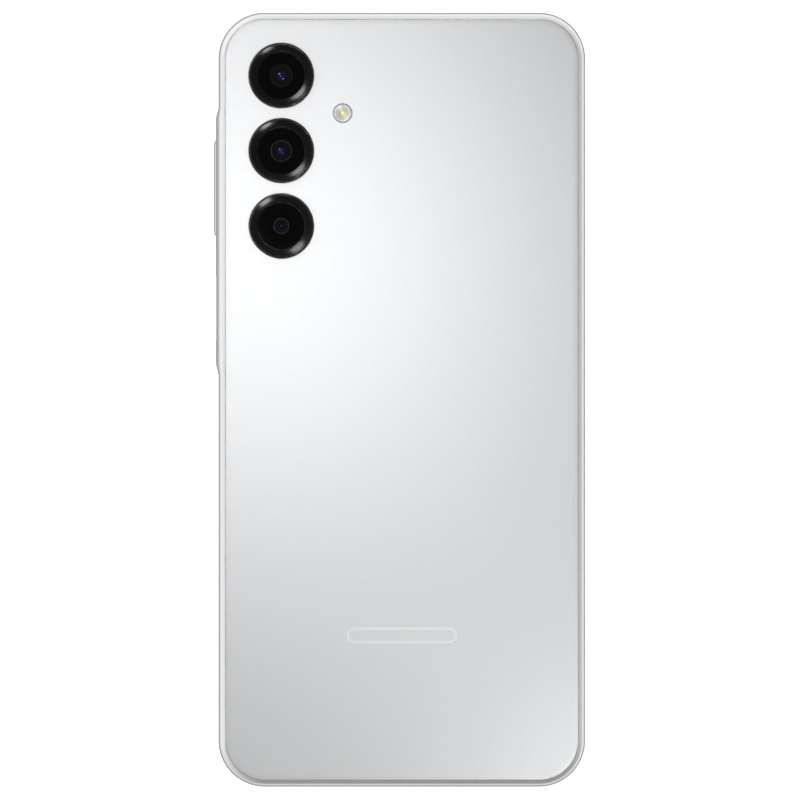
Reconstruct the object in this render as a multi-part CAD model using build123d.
"""Touchscreen smartphone as an assembly of separate pieces, in millimetres.

The phone lies on its screen. The origin is the centre of the front glass, +Z comes out of the
rear cover, +Y points to the top edge, and the side keys are on the -X side.
"""
import os
from math import cos, radians

from build123d import *

# ---- driving dimensions -------------------------------------------------------------------
LENGTH = 164.4
WIDTH = 77.9
THICKNESS = 7.9
CORNER_R = 9.8

LIP_Z = 0.15            # the frame's front lip sits this far behind the glass
GLASS_INSET = 0.95
GLASS_T = 0.55
DISPLAY_INSET = 2.75
DISPLAY_Z = (0.55, 2.0)
MID_PLATE_Z = (2.1, 2.45)
MID_PLATE_INSET = 2.3
WALL = 2.2              # side wall, from the outline to the inner cavity
LEDGE = 3.2             # rear ledge that the cover is glued to
LEDGE_Z = (5.9, 6.85)
COVER_INSET = 1.62
COVER_Z = (7.0, THICKNESS)
RIM_RUN = 1.5           # rear rim: its width and its drop
RIM_DROP = 0.8
RIM_ROUND = 1.6

ISLAND_PROUD = 0.55
ISLAND_FULL_Y = (7.9, 59.6)
ISLAND_END_Y = (5.0, 62.2)
ISLAND_Z = (1.4, 6.9)
ISLAND_REAR_ROUND = 1.9

KEY_Z = 4.15
KEY_GAP = 0.14
VOLUME_Y = (34.5, 55.4)
VOLUME_PROUD = 0.45
VOLUME_HEIGHT = 2.5
POWER_Y = (11.8, 26.8)
POWER_HEIGHT = 3.0
POWER_SUNK = 0.05
KEY_FLANGE_HEIGHT = 3.3
KEY_FLANGE_X = (-36.4, -36.1)
DOME_X = (-35.7, -35.5)
KEY_FLEX_X = (-35.5, -35.4)
KEY_BRACKET_X = (-35.4, -35.0)
ROCKER_POST_Y = 6.5     # each dome's distance from the rocker's middle

CAMERA_X = -25.58
CAMERA_Y = {"main": 68.78, "ultrawide": 52.81, "macro": 36.85}
RING_R = 6.9
RING_TOP = 9.1
WINDOW_R = 5.0
WINDOW_Z = (8.25, 8.8)
FLASH_AT = (-12.55, 60.8)
FLASH_R = 2.05
FRONT_CAMERA_Y = 76.2

BOARD_Z = (2.9, 3.7)
BOARD_X = (-17.5, 35.5)
BOARD_Y = (31.0, 71.0)
BOARD_TOP_X = (21.0, 35.5)
BOARD_TOP_Y = 78.5
BRACKET_Z = (6.1, 6.6)
SCREW_R = 0.65
BOARD_SCREWS = [(-15.8, 32.7), (10.8, 32.7), (33.8, 32.7), (-15.6, 68.9), (15.5, 68.5), (33.8, 62.4)]
SUB_SCREWS = [(-3.6, -62.6), (21.0, -62.6), (33.4, -62.6), (31.5, -76.2)]

BATTERY_X = (-31.0, 31.0)
BATTERY_Y = (-58.0, 27.0)
BATTERY_Z = (2.6, 6.75)

SUB_BOARD_X = (-5.5, 35.3)
SUB_BOARD_Y = (-79.0, -61.0)
SUB_BOARD_Z = (2.9, 3.6)
PORT_Z = 4.1
USB_WIDTH = 8.94
USB_HEIGHT = 3.16
USB_WALL = 0.3
USB_Y = (-81.95, -74.6)

SPEAKER_X = (-35.0, -7.0)
SPEAKER_Y = (-79.3, -60.6)
SPEAKER_AT = (-21.0, -69.0)
SPEAKER_SLOT_X = (-28.5, -24.5, -20.5, -16.5)
MAIN_FLEX_X = (13.0, 19.0)
DISPLAY_TAIL_X = (-1.0, 10.0)
MOTOR_AT = (27.6, -69.6)
MOTOR_R = 4.0
RECEIVER_AT = (13.0, 75.4)

TRAY_Z = 4.5
TRAY_FACE_Y = (43.4, 60.9)
TRAY_FACE_HEIGHT = 2.6
TRAY_FACE_X = (37.45, WIDTH / 2)
TRAY_BODY_Y = (46.2, 59.8)
TRAY_BODY_Z = (3.95, 5.05)
TRAY_END_X = 12.9
EJECT_Y = 44.8
EJECT_HOLE_R = 0.45
ROD_R = 0.4
LEVER_AT = (11.5, 48.6)
LEVER_ARM = 3.8

HALF_W = WIDTH / 2
HALF_L = LENGTH / 2


# ---- small helpers ------------------------------------------------------------------------
def block(x, y, z):
    """Box between the two values of each pair."""
    size = [pair[1] - pair[0] for pair in (x, y, z)]
    middle = [(pair[0] + pair[1]) / 2 for pair in (x, y, z)]
    return Pos(*middle) * Box(*size)


def disc(at, radius, z):
    """Upright cylinder at a place in plan, between two heights."""
    return Pos(at[0], at[1], (z[0] + z[1]) / 2) * Cylinder(radius, z[1] - z[0])


def square(at, size, z):
    """Upright square block centred on a place in plan."""
    half = size / 2
    return block((at[0] - half, at[0] + half), (at[1] - half, at[1] + half), z)


def rounded_block(x, y, z, radius):
    """Block with rounded upright corners."""
    plan = Pos((x[0] + x[1]) / 2, (y[0] + y[1]) / 2, z[0]) * RectangleRounded(x[1] - x[0], y[1] - y[0], radius)
    return extrude(plan, z[1] - z[0])


def body_plate(inset, z):
    """Plate with the phone's outline, set in from it all round."""
    plan = Pos(0, 0, z[0]) * RectangleRounded(WIDTH - 2 * inset, LENGTH - 2 * inset, CORNER_R - inset)
    return extrude(plan, z[1] - z[0])


def body_ring(outer_inset, inner_inset, z):
    """Closed ring that follows the phone's outline."""
    return body_plate(outer_inset, z) - body_plate(inner_inset, z)


def stadium_x(x, y, z_middle, height):
    """Bar along X whose section in Y and Z is a rounded slot."""
    start = Plane(origin=(x[0], (y[0] + y[1]) / 2, z_middle), x_dir=(0, 1, 0), z_dir=(1, 0, 0))
    return extrude(start * SlotOverall(y[1] - y[0], height), x[1] - x[0])


def stadium_y(y, x_middle, z_middle, width, height):
    """Bar along Y whose section in X and Z is a rounded slot."""
    start = Plane(origin=(x_middle, y[0], z_middle), x_dir=(1, 0, 0), z_dir=(0, -1, 0))
    return extrude(start * SlotOverall(width, height), -(y[1] - y[0]))


def rod_x(x, y, z, radius):
    """Round bar along X."""
    start = Plane(origin=(x[0], y, z), x_dir=(0, 1, 0), z_dir=(1, 0, 0))
    return extrude(start * Circle(radius), x[1] - x[0])


def inside_body(shape, inset):
    """The part of a shape that lies inside the phone's outline, set in by a distance."""
    return shape & body_plate(inset, (0, THICKNESS))


def turned(points, at):
    """Ring turned about an upright axis from (radius, height) corners."""
    outline = Plane.XZ * make_face(Polyline(*points, close=True))
    return Pos(at[0], at[1], 0) * revolve(outline, Axis.Z)


def join(pieces):
    """One shape from several that touch."""
    whole = pieces[0]
    for piece in pieces[1:]:
        whole = whole + piece
    return whole


NODES = {}


def save(name, *shapes):
    """Keep a node's solids, one or several."""
    solids = [solid for shape in shapes for solid in shape.solids()]
    NODES[name] = solids[0] if len(solids) == 1 else Compound(children=solids)


# ---- front: glass, display and their adhesive ----------------------------------------------
def make_front():
    glass = body_plate(GLASS_INSET, (0, GLASS_T))
    glass = fillet(glass.faces().sort_by(Axis.Z)[0].edges(), 0.22)
    save("cover_glass", glass)

    panel = body_plate(DISPLAY_INSET, DISPLAY_Z)
    panel -= disc((0, FRONT_CAMERA_Y), 2.75, DISPLAY_Z)
    save("display_panel", panel)

    panel_end = -HALF_L + DISPLAY_INSET
    tail = block((-12, 12), (panel_end + 1, -60.6), (2.0, 2.1))
    riser = block(DISPLAY_TAIL_X, (-60.7, -60.6), (2.0, 4.0))
    landing = block(DISPLAY_TAIL_X, (-63.4, -60.6), (3.9, 4.0))
    save("display_flex", join([tail, riser, landing]))

    front_bead = body_ring(GLASS_INSET + 0.1, 2.55, (GLASS_T, 0.75))
    rear_bead = body_ring(COVER_INSET + 0.15, LEDGE - 0.1, (LEDGE_Z[1], COVER_Z[0]))
    save("adhesive_beads", front_bead, rear_bead)


# ---- side frame with the raised key island --------------------------------------------------
def key_island():
    """Pad on the -X side that swells out along the keys, with a wide round to the rear rim."""
    side = -HALF_W
    proud = side - ISLAND_PROUD
    inside = side + 1.45
    low_run = ISLAND_FULL_Y[0] - ISLAND_END_Y[0]
    high_run = ISLAND_END_Y[1] - ISLAND_FULL_Y[1]
    ends = [
        Vector(inside, ISLAND_END_Y[0]),
        Vector(side, ISLAND_END_Y[0]),
        Vector(side - ISLAND_PROUD / 2, ISLAND_END_Y[0] + low_run / 2),
        Vector(proud, ISLAND_FULL_Y[0]),
        Vector(proud, ISLAND_FULL_Y[1]),
        Vector(side - ISLAND_PROUD / 2, ISLAND_END_Y[1] - high_run / 2),
        Vector(side, ISLAND_END_Y[1]),
        Vector(inside, ISLAND_END_Y[1]),
    ]
    plan_edges = [
        Line(ends[0], ends[1]),
        TangentArc(ends[1], ends[2], tangent=(0, 1)),
        TangentArc(ends[3], ends[2], tangent=(0, -1)),
        Line(ends[3], ends[4]),
        TangentArc(ends[4], ends[5], tangent=(0, 1)),
        TangentArc(ends[6], ends[5], tangent=(0, -1)),
        Line(ends[6], ends[7]),
        Line(ends[7], ends[0]),
    ]
    plan = extrude(make_face(Wire(plan_edges)), THICKNESS)

    front_r = ISLAND_PROUD
    rear_r = ISLAND_REAR_ROUND
    section_points = [
        (inside, ISLAND_Z[0]),
        (side, ISLAND_Z[0]),
        (proud, ISLAND_Z[0] + front_r),
        (proud, ISLAND_Z[1] - rear_r),
        (proud + rear_r, ISLAND_Z[1]),
        (inside, ISLAND_Z[1]),
    ]
    front_bend = front_r * (1 - cos(radians(45)))
    rear_bend = rear_r * (1 - cos(radians(45)))
    section_edges = [
        Line(section_points[0], section_points[1]),
        ThreePointArc(section_points[1], (proud + front_bend, ISLAND_Z[0] + front_bend), section_points[2]),
        Line(section_points[2], section_points[3]),
        ThreePointArc(section_points[3], (proud + rear_bend, ISLAND_Z[1] - rear_bend), section_points[4]),
        Line(section_points[4], section_points[5]),
        Line(section_points[5], section_points[0]),
    ]
    section_plane = Plane(origin=(0, 80, 0), x_dir=(1, 0, 0), z_dir=(0, -1, 0))
    section = extrude(section_plane * make_face(Wire(section_edges)), 100)
    return plan & section


def make_frame():
    body = body_plate(0, (LIP_Z, THICKNESS))
    rear_face = body.faces().sort_by(Axis.Z)[-1]
    body = chamfer(rear_face.edges(), RIM_RUN, RIM_DROP, reference=rear_face)
    rim_corner = body.edges().filter_by(lambda edge: abs(edge.center().Z - (THICKNESS - RIM_DROP)) < 1e-3)
    body = fillet(rim_corner, RIM_ROUND)
    body = fillet(body.faces().sort_by(Axis.Z)[0].edges(), 0.5)
    body += key_island()

    body -= body_plate(GLASS_INSET - 0.05, (-1, 0.75))
    body -= body_plate(2.6, (0.5, MID_PLATE_Z[0]))
    body -= body_plate(WALL, (MID_PLATE_Z[0], LEDGE_Z[0]))
    body -= body_plate(LEDGE, (LEDGE_Z[0] - 0.1, THICKNESS + 1))
    body -= body_plate(COVER_INSET - 0.08, (LEDGE_Z[1], THICKNESS + 1))

    through_left = (-HALF_W - 2, -HALF_W + WALL + 0.5)
    body -= stadium_x(through_left, (VOLUME_Y[0] - KEY_GAP, VOLUME_Y[1] + KEY_GAP), KEY_Z,
                      VOLUME_HEIGHT + 2 * KEY_GAP)
    body -= stadium_x(through_left, (POWER_Y[0] - KEY_GAP, POWER_Y[1] + KEY_GAP), KEY_Z,
                      POWER_HEIGHT + 2 * KEY_GAP)
    through_right = (HALF_W - WALL - 0.5, HALF_W + 1)
    body -= stadium_x(through_right, (TRAY_FACE_Y[0] - 0.12, TRAY_FACE_Y[1] + 0.12), TRAY_Z,
                      TRAY_FACE_HEIGHT + 0.24)

    through_bottom = (-HALF_L - 1, -HALF_L + WALL + 0.5)
    body -= stadium_y(through_bottom, 0, PORT_Z, USB_WIDTH + 0.2, USB_HEIGHT + 0.2)
    for x in SPEAKER_SLOT_X:
        body -= stadium_y(through_bottom, x, PORT_Z, 2.8, 1.2)
    body -= stadium_y(through_bottom, 10.5, PORT_Z, 1.001, 1.0)
    through_top = (HALF_L - WALL - 0.5, HALF_L + 1)
    body -= stadium_y(through_top, 25.0, PORT_Z, 1.001, 1.0)
    earpiece_slit = block((-6, 6), (HALF_L - 1.3, HALF_L - GLASS_INSET + 0.25), (-1, 1.6))
    body -= earpiece_slit
    save("side_frame", body)


def make_mid_plate():
    plate = body_plate(MID_PLATE_INSET, MID_PLATE_Z)
    for at in BOARD_SCREWS + SUB_SCREWS:
        plate += disc(at, 1.5, (MID_PLATE_Z[1] - 0.1, BOARD_Z[0]))
    for at in BOARD_SCREWS + SUB_SCREWS:
        plate -= disc(at, SCREW_R + 0.05, (1, 4))
    plate -= square((0, FRONT_CAMERA_Y), 6.8, (1, 4))
    plate -= block((DISPLAY_TAIL_X[0] - 1, DISPLAY_TAIL_X[1] + 1), (-61.2, -60.1), (1, 4))
    save("mid_plate", plate)


# ---- rear cover, camera rings, windows and flash ---------------------------------------------
def make_rear_cover():
    cover = body_plate(COVER_INSET, COVER_Z)
    cover = fillet(cover.faces().sort_by(Axis.Z)[-1].edges(), 0.3)
    for y in CAMERA_Y.values():
        cover -= disc((CAMERA_X, y), RING_R + 0.05, (6, 9))
    cover -= disc(FLASH_AT, FLASH_R + 0.05, (6, 9))
    save("rear_cover", cover)


def make_camera_rings():
    windows = []
    for name, y in CAMERA_Y.items():
        flange_r = RING_R + 0.7
        ring_points = [
            (WINDOW_R - 0.4, 6.5),
            (flange_r, 6.5),
            (flange_r, 6.95),
            (RING_R, 6.95),
            (RING_R, RING_TOP - 0.35),
            (RING_R - 0.1, RING_TOP - 0.1),
            (RING_R - 0.3, RING_TOP),
            (RING_R - 0.42, RING_TOP),
            (WINDOW_R, WINDOW_Z[1] + 0.02),
            (WINDOW_R, WINDOW_Z[0]),
            (WINDOW_R - 0.4, WINDOW_Z[0]),
        ]
        save(f"{name}_camera_ring", turned(ring_points, (CAMERA_X, y)))
        windows.append(disc((CAMERA_X, y), WINDOW_R - 0.03, WINDOW_Z))
    save("camera_windows", *windows)


def make_flash():
    lens = disc(FLASH_AT, FLASH_R, (7.0, THICKNESS + 0.05))
    lens = fillet(lens.faces().sort_by(Axis.Z)[-1].edges(), 0.15)
    lens -= disc(FLASH_AT, FLASH_R - 0.5, (6.9, 7.3))
    save("flash_lens", lens)
    save("flash_led", square(FLASH_AT, 4.0, (6.6, 6.7)), square(FLASH_AT, 1.9, (6.7, 7.2)))


# ---- camera modules -----------------------------------------------------------------------
def camera_module(at, size, z_low, barrel_r, barrel_top):
    """Fixed-focus module: square housing, threaded-in barrel and the lens seat in its front."""
    module = square(at, size, (z_low, 6.3)) + disc(at, barrel_r, (6.3, barrel_top))
    module -= disc(at, barrel_r - 0.9, (barrel_top - 0.6, barrel_top))
    return module


def lens_dome(at, radius, z_seat, facing):
    """Thin lens with a domed front."""
    lens = disc(at, radius, sorted((z_seat, z_seat + 0.45 * facing)))
    edge = lens.faces().sort_by(Axis.Z)[-1 if facing > 0 else 0].edges()
    return fillet(edge, 0.3)


def make_cameras():
    main = (CAMERA_X, CAMERA_Y["main"])
    housing = square(main, 10.4, (2.6, 6.4))
    housing -= disc(main, 3.5, (3.2, 7.0))
    save("main_camera_housing", housing)
    barrel = disc(main, 3.3, (3.6, 7.5))
    barrel -= disc(main, 2.3, (6.9, 7.5))
    save("main_camera_barrel", barrel)
    save("main_camera_lens", lens_dome(main, 2.25, 6.9, 1))

    ultrawide = (CAMERA_X, CAMERA_Y["ultrawide"])
    macro = (CAMERA_X, CAMERA_Y["macro"])
    save("ultrawide_camera_module", camera_module(ultrawide, 8.6, 3.4, 3.0, 7.5))
    save("macro_camera_module", camera_module(macro, 7.4, 3.8, 2.4, 7.5))

    front = (0, FRONT_CAMERA_Y)
    module = square(front, 6.4, (2.0, 5.2)) + disc(front, 2.4, (0.8, 2.0))
    module -= disc(front, 1.5, (0.8, 1.4))
    save("front_camera_module", module)
    save("fixed_camera_lenses",
         lens_dome(ultrawide, 2.05, 6.9, 1),
         lens_dome(macro, 1.45, 6.9, 1),
         lens_dome(front, 1.45, 1.4, -1))

    flexes = []
    for name, size in (("main", 10.4), ("ultrawide", 8.6), ("macro", 7.4)):
        y = CAMERA_Y[name] - 3.6 if name == "main" else CAMERA_Y[name]
        start = CAMERA_X + size / 2
        height = 3.9 if name == "macro" else 3.75
        flexes.append(block((start, -16.0), (y - 2, y + 2), (height, height + 0.12)))
    save("camera_flexes", *flexes)


# ---- earpiece ------------------------------------------------------------------------------
def make_earpiece():
    x = (RECEIVER_AT[0] - 6, RECEIVER_AT[0] + 6)
    y = (RECEIVER_AT[1] - 3, RECEIVER_AT[1] + 3)
    case = block(x, y, (2.5, 4.9))
    case -= block((x[0] + 0.4, x[1] - 0.4), (y[0] + 0.4, y[1] - 0.4), (2.9, 4.9))
    case += block((x[0] + 2.5, x[1] - 2.5), (y[0] + 1.6, y[1] - 1.6), (2.8, 3.8))
    save("earpiece_case", case)
    plate = block((x[0] + 0.7, x[1] - 0.7), (y[0] + 0.7, y[1] - 0.7), (4.45, 4.6))
    coil = block((x[0] + 1.9, x[1] - 1.9), (y[0] + 1.0, y[1] - 1.0), (4.1, 4.45))
    coil -= block((x[0] + 2.3, x[1] - 2.3), (y[0] + 1.35, y[1] - 1.35), (4.0, 4.45))
    save("earpiece_diaphragm", plate + coil)

    ear_mesh = block((-5.8, 5.8), (HALF_L - 1.25, HALF_L - GLASS_INSET + 0.0), (0.85, 1.0))
    speaker_mesh = block((SPEAKER_SLOT_X[0] - 1.5, SPEAKER_SLOT_X[-1] + 1.5), (-79.75, -79.65),
                         (PORT_Z - 1.1, PORT_Z + 1.1))
    save("acoustic_meshes", ear_mesh, speaker_mesh)


# ---- main board and what it carries ----------------------------------------------------------
def make_boards():
    board = block(BOARD_X, BOARD_Y, BOARD_Z) + block(BOARD_TOP_X, (BOARD_Y[1] - 1, BOARD_TOP_Y), BOARD_Z)
    for at in BOARD_SCREWS:
        board -= disc(at, 0.9, (2, 5))
    save("main_board", inside_body(board, WALL + 0.2))

    cans = []
    for x, y in (((-15, 8.5), (35, 51.8)), ((-15, 8.5), (53.6, 66.6)), ((22.5, 34.8), (64.6, 77.6))):
        can = block(x, y, (BOARD_Z[1], 5.3))
        can -= block((x[0] + 0.2, x[1] - 0.2), (y[0] + 0.2, y[1] - 0.2), (BOARD_Z[1], 5.1))
        cans.append(can)
    save("shield_cans", *cans)

    chip_plan = [
        ((-12.5, 1.5), (36.6, 50.4), 1.2),
        ((3.0, 7.2), (37.0, 42.0), 0.8),
        ((3.0, 7.2), (44.0, 50.0), 0.7),
        ((-13.0, -2.0), (55.0, 65.0), 1.0),
        ((0.5, 6.5), (55.5, 61.5), 0.8),
        ((24.0, 30.0), (66.5, 73.0), 0.9),
        ((31.0, 33.8), (67.0, 70.5), 0.6),
    ]
    save("board_chips", *[block(x, y, (BOARD_Z[1], BOARD_Z[1] + tall)) for x, y, tall in chip_plan])

    sub_board = block(SUB_BOARD_X, SUB_BOARD_Y, SUB_BOARD_Z)
    sub_board -= block((-4.7, 4.7), (-80, USB_Y[1] + 0.1), (2, 5))
    sub_board -= disc(MOTOR_AT, MOTOR_R + 0.3, (2, 5))
    for at in SUB_SCREWS:
        sub_board -= disc(at, 0.9, (2, 5))
    save("sub_board", inside_body(sub_board, WALL + 0.2))

    main_mic = block((8.8, 12.2), (-78.8, -76.0), (SUB_BOARD_Z[1], 4.6))
    top_mic = block((18.4, 20.6), (64.8, 67.6), (BOARD_Z[1], 4.7))
    save("microphones", main_mic, top_mic)


def make_brackets():
    upper = block((-17.5, 35.0), (31.6, 70.0), BRACKET_Z)
    upper += block((20.0, 35.0), (69.0, 78.0), BRACKET_Z)
    upper -= rounded_block((-11.5, 6.0), (37.5, 49.5), (6, 7), 1.5)
    upper -= rounded_block((15.5, 32.5), (46.0, 59.0), (6, 7), 1.5)
    for at in BOARD_SCREWS:
        upper += disc(at, 1.5, (BOARD_Z[1], BRACKET_Z[0] + 0.1))
        upper -= disc(at, SCREW_R + 0.15, (3, 7))
    save("upper_bracket", inside_body(upper, LEDGE + 0.15))

    lower = block((-5.2, 35.0), (-78.6, -61.2), BRACKET_Z)
    lower -= disc(MOTOR_AT, MOTOR_R + 1.0, (6, 7))
    for at in SUB_SCREWS:
        lower += disc(at, 1.5, (SUB_BOARD_Z[1], BRACKET_Z[0] + 0.1))
        lower -= disc(at, SCREW_R + 0.15, (3, 7))
    save("lower_bracket", inside_body(lower, LEDGE + 0.15))

    screws = []
    for at in BOARD_SCREWS + SUB_SCREWS:
        head = disc(at, 1.25, (BRACKET_Z[1], BRACKET_Z[1] + 0.3))
        head -= square(at, 0.7, (BRACKET_Z[1] + 0.12, BRACKET_Z[1] + 0.3))
        screws.append(head + disc(at, SCREW_R, (MID_PLATE_Z[0] + 0.1, BRACKET_Z[1])))
    save("bracket_screws", *screws)


def make_rear_coil():
    coil_z = (6.86, 6.96)
    coil = rounded_block((-22, 22), (-24, 14), coil_z, 4) - rounded_block((-17, 17), (-19, 9), coil_z, 2)
    save("nfc_coil", coil)


# ---- battery and the links along it -----------------------------------------------------------
def make_battery():
    cell = rounded_block(BATTERY_X, BATTERY_Y, BATTERY_Z, 1.5)
    cell = fillet(cell.faces().sort_by(Axis.Z)[-1].edges(), 0.6)
    save("battery_cell", cell)

    protection_board = block((-25, 25), (27.2, 29.8), (3.2, 5.4))
    tail = block((-4, 4), (29.8, 34.0), (4.6, 4.75))
    plug = block((-4, 4), (31.8, 34.0), (BOARD_Z[1], 4.6))
    save("battery_flex", protection_board + tail + plug)


def make_links():
    flex_z = (6.76, 6.85)
    x = MAIN_FLEX_X
    run = block(x, (-59.0, 30.4), flex_z)
    lower_drop = block(x, (-59.1, -59.0), (4.3, flex_z[1]))
    lower_tail = block(x, (-64.2, -59.0), (4.3, 4.4))
    upper_drop = block(x, (30.3, 30.4), (4.3, flex_z[1]))
    upper_tail = block(x, (30.3, 34.6), (4.3, 4.4))
    plugs = block(x, (-64.2, -62.0), (SUB_BOARD_Z[1], 4.3)) + block(x, (32.0, 34.6), (BOARD_Z[1], 4.3))
    save("main_flex", join([run, lower_drop, lower_tail, upper_drop, upper_tail]) + plugs)

    coax_r = 0.4
    coax_z = BOARD_Z[1] + coax_r + 0.1
    route = FilletPolyline((30.8, 34.8, coax_z), (33.4, 29.0, coax_z), (33.4, -58.0, coax_z),
                           (30.8, -63.2, coax_z), radius=3)
    cable = sweep(Plane(origin=route @ 0, z_dir=route % 0) * Circle(coax_r), route)
    upper_plug = disc((30.8, 35.6), 1.1, (BOARD_Z[1], coax_z + 0.5))
    lower_plug = disc((30.8, -64.0), 1.1, (SUB_BOARD_Z[1], coax_z + 0.5))
    save("antenna_coax", cable, upper_plug, lower_plug)


# ---- charging port ------------------------------------------------------------------------
def make_usb_port():
    shell = stadium_y(USB_Y, 0, PORT_Z, USB_WIDTH, USB_HEIGHT)
    hollow_y = (USB_Y[0] - 1, USB_Y[1] - 0.5)
    shell -= stadium_y(hollow_y, 0, PORT_Z, USB_WIDTH - 2 * USB_WALL, USB_HEIGHT - 2 * USB_WALL)
    for side in (-1, 1):
        foot = sorted((side * (USB_WIDTH / 2 - 0.1), side * (USB_WIDTH / 2 + 1.0)))
        shell += block(foot, (-78.0, -77.0), (SUB_BOARD_Z[1], SUB_BOARD_Z[1] + 0.25))
    save("usb_c_shell", shell)

    tongue_y = (USB_Y[0] + 1.1, USB_Y[1] - 0.5)
    tongue = block((-3.35, 3.35), tongue_y, (PORT_Z - 0.35, PORT_Z + 0.35))
    tongue += block((-3.7, 3.7), (USB_Y[1] - 1.5, USB_Y[1] - 0.5), (PORT_Z - 0.9, PORT_Z + 0.9))
    contacts = []
    for index in range(12):
        x = (index - 5.5) * 0.5
        for side in (-1, 1):
            height = sorted((PORT_Z + side * 0.35, PORT_Z + side * 0.4))
            contacts.append(block((x - 0.12, x + 0.12), (tongue_y[0] + 0.5, USB_Y[1] - 1.5), height))
    save("usb_c_tongue", tongue)
    save("usb_c_contacts", *contacts)


# ---- loudspeaker and vibration motor ---------------------------------------------------------
def make_speaker():
    x, y = SPEAKER_X, SPEAKER_Y
    wall = 0.8
    at_x, at_y = SPEAKER_AT
    box = inside_body(block(x, y, (2.6, 5.9)), WALL + 0.2)
    chamber = block((x[0] + wall, x[1] - wall), (y[0] + wall, y[1] - wall), (3.1, 5.9))
    box -= inside_body(chamber, WALL + 0.2 + wall)
    seat = rounded_block((at_x - 8.5, at_x + 8.5), (at_y - 5.5, at_y + 5.5), (3.0, 4.7), 2)
    seat -= rounded_block((at_x - 7.55, at_x + 7.55), (at_y - 4.55, at_y + 4.55), (3.0, 4.7), 0.3)
    box += seat
    sound_x = (SPEAKER_SLOT_X[0] - 1.8, SPEAKER_SLOT_X[-1] + 1.8)
    box -= block(sound_x, (y[0] - 0.1, y[0] + wall + 0.1), (PORT_Z - 0.9, PORT_Z + 0.9))
    lid = inside_body(block(x, y, (5.9, 6.4)), LEDGE + 0.15)
    save("speaker_box", box)
    save("speaker_lid", lid)

    yoke = rounded_block((at_x - 7.5, at_x + 7.5), (at_y - 4.5, at_y + 4.5), (3.1, 4.4), 0.6)
    yoke -= block((at_x - 6.7, at_x + 6.7), (at_y - 3.7, at_y + 3.7), (3.4, 4.4))
    yoke += block((at_x - 5.3, at_x + 5.3), (at_y - 2.3, at_y + 2.3), (3.3, 4.3))
    save("speaker_magnet", yoke)
    coil = block((at_x - 6.3, at_x + 6.3), (at_y - 3.3, at_y + 3.3), (3.9, 5.0))
    coil -= block((at_x - 5.7, at_x + 5.7), (at_y - 2.7, at_y + 2.7), (3.8, 5.0))
    plate = rounded_block((at_x - 7.5, at_x + 7.5), (at_y - 4.5, at_y + 4.5), (5.0, 5.2), 1.5)
    save("speaker_coil", coil)
    save("speaker_diaphragm", plate)


def make_vibration_motor():
    floor_z = MID_PLATE_Z[1]
    case = disc(MOTOR_AT, MOTOR_R, (floor_z + 0.3, 5.4))
    case -= disc(MOTOR_AT, MOTOR_R - 0.25, (floor_z + 0.3, 5.15))
    save("vibration_motor_case", case)
    base = disc(MOTOR_AT, MOTOR_R, (floor_z, floor_z + 0.3)) + disc(MOTOR_AT, 0.35, (floor_z + 0.3, 5.15))
    save("vibration_motor_base", base)
    rotor = disc(MOTOR_AT, 3.4, (3.3, 4.7))
    rotor -= block((MOTOR_AT[0] - 4, MOTOR_AT[0] + 4), (MOTOR_AT[1] + 0.9, MOTOR_AT[1] + 4), (3.2, 4.8))
    rotor -= disc(MOTOR_AT, 0.39, (3.2, 4.8))
    save("vibration_motor_rotor", rotor)


# ---- SIM tray, socket and eject mechanism ------------------------------------------------------
def make_sim_tray():
    face = stadium_x(TRAY_FACE_X, TRAY_FACE_Y, TRAY_Z, TRAY_FACE_HEIGHT)
    face = fillet(face.faces().sort_by(Axis.X)[-1].edges(), 0.12)
    neck_and_body = block((TRAY_END_X, TRAY_FACE_X[0] + 0.1), TRAY_BODY_Y, TRAY_BODY_Z)
    tray = face + neck_and_body
    for x, y in (((14.3, 23.3), (46.9, 59.1)), ((24.2, 35.3), (46.9, 59.1))):
        tray -= rounded_block(x, y, (TRAY_BODY_Z[0] + 0.3, 6), 0.8)
        tray -= rounded_block((x[0] + 0.8, x[1] - 0.8), (y[0] + 0.8, y[1] - 0.8), (3, 5), 0.6)
    tray -= rod_x((37, 40), EJECT_Y, TRAY_Z, EJECT_HOLE_R)
    save("sim_tray", tray)

    gasket_x = (36.95, TRAY_FACE_X[0])
    gasket_y = (TRAY_BODY_Y[0] - 0.75, TRAY_BODY_Y[1] + 0.95)
    gasket = stadium_x(gasket_x, gasket_y, TRAY_Z, TRAY_FACE_HEIGHT - 0.3)
    gasket -= block((36, 38), TRAY_BODY_Y, TRAY_BODY_Z)
    save("sim_tray_gasket", gasket)


def make_sim_socket():
    floor = BOARD_Z[1]
    wall_y = (TRAY_BODY_Y[0] - 0.45, TRAY_BODY_Y[1] + 0.45)
    base = block((9.6, 36.4), wall_y, (floor, floor + 0.12))
    walls = block((14.2, 36.4), wall_y, (floor, 5.45))
    walls -= block((14, 37), (TRAY_BODY_Y[0] - 0.25, TRAY_BODY_Y[1] + 0.25), (3.5, 5.25))
    pin = disc(LEVER_AT, 0.5, (floor, 5.1))
    guides = [block((x, x + 1.5), (EJECT_Y - 0.9, wall_y[0] + 0.05), (floor, 5.45)) for x in (16.0, 32.5)]
    socket = join([base, walls, pin] + guides)
    socket -= rod_x((12, 37), EJECT_Y, TRAY_Z, ROD_R + 0.05)
    save("sim_socket", socket)

    springs = []
    for x in (16.5, 19.0, 21.5, 27.0, 30.0, 33.0):
        for y in (50.0, 56.0):
            springs.append(block((x - 0.4, x + 0.4), (y - 1.2, y + 1.2), (floor + 0.12, floor + 0.2)))
    save("sim_contacts", *springs)


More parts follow.
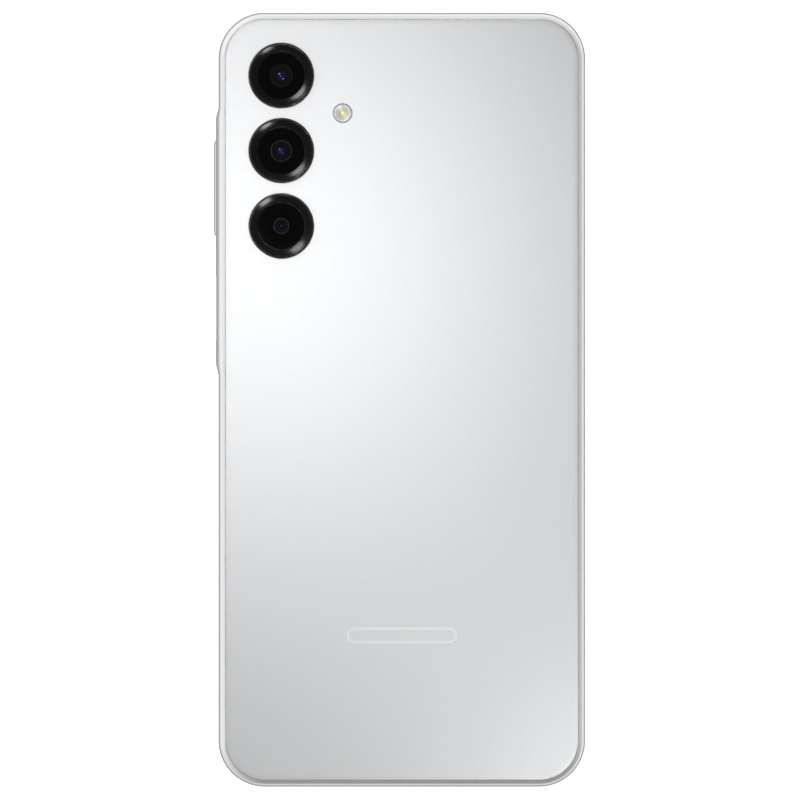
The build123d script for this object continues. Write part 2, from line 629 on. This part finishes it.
def make_eject():
    rod = rod_x((12.1, 37.1), EJECT_Y, TRAY_Z, ROD_R)
    save("sim_eject_rod", fillet(rod.edges().filter_by(GeomType.CIRCLE), 0.15))

    x, y = LEVER_AT
    lever = block((x - 0.4, x + 0.4), (y - LEVER_ARM - 0.4, y + LEVER_ARM + 0.4), (4.1, 4.9))
    lever += disc(LEVER_AT, 1.0, (4.1, 4.9))
    lever -= disc(LEVER_AT, 0.53, (4.0, 5.0))
    save("sim_eject_lever", lever)
    pusher_y = (y + LEVER_ARM - 1.0, y + LEVER_ARM + 3.0)
    save("sim_eject_pusher", block((x + 0.6, TRAY_END_X - 0.05), pusher_y, (4.0, 5.0)))


# ---- side keys -----------------------------------------------------------------------------
def key_with_flange(span, height, outer_x, edge_r):
    """Key head with its retaining flange inside the wall."""
    head = stadium_x((outer_x, KEY_FLANGE_X[0] + 0.05), span, KEY_Z, height)
    head = fillet(head.faces().sort_by(Axis.X)[0].edges(), edge_r)
    return head + stadium_x(KEY_FLANGE_X, (span[0] - 0.7, span[1] + 0.7), KEY_Z, KEY_FLANGE_HEIGHT)


def make_keys():
    island = -HALF_W - ISLAND_PROUD
    volume = key_with_flange(VOLUME_Y, VOLUME_HEIGHT, island - VOLUME_PROUD, 0.4)
    volume_middle = (VOLUME_Y[0] + VOLUME_Y[1]) / 2
    post_x = KEY_FLANGE_X[1]
    volume_posts = (volume_middle - ROCKER_POST_Y, volume_middle + ROCKER_POST_Y)
    for y in volume_posts:
        volume += rod_x((post_x - 0.05, DOME_X[0] - 0.2), y, KEY_Z, 0.8)
    save("volume_key", volume)

    power_x = island + POWER_SUNK
    power = key_with_flange(POWER_Y, POWER_HEIGHT, power_x, 0.15)
    power_middle = (POWER_Y[0] + POWER_Y[1]) / 2
    power += rod_x((post_x - 0.05, DOME_X[0] - 0.25), power_middle, KEY_Z, 0.8)
    sensor_span = (POWER_Y[0] + 0.6, POWER_Y[1] - 0.6)
    sensor_height = POWER_HEIGHT - 1.0
    power -= stadium_x((power_x, power_x + 0.3), sensor_span, KEY_Z, sensor_height)
    save("power_key", power)
    save("fingerprint_sensor", stadium_x((power_x + 0.02, power_x + 0.3), sensor_span, KEY_Z, sensor_height))

    key_flex = block(KEY_FLEX_X, (9.5, 57.5), (2.6, 5.6))
    for y in volume_posts + (power_middle,):
        key_flex += rod_x(DOME_X, y, KEY_Z, 1.3)
    save("side_key_flex", key_flex)
    save("side_key_bracket", block(KEY_BRACKET_X, (8.5, 58.5), (2.5, 5.7)))


# ---- build and write -------------------------------------------------------------------------
for make in (make_front, make_frame, make_mid_plate, make_rear_cover, make_camera_rings, make_flash,
             make_cameras, make_earpiece, make_boards, make_brackets, make_rear_coil, make_battery,
             make_links, make_usb_port, make_speaker, make_vibration_motor, make_sim_tray,
             make_sim_socket, make_eject, make_keys):
    make()

os.makedirs("parts", exist_ok=True)
for node, shape in NODES.items():
    export_step(shape, f"parts/{node}.step")
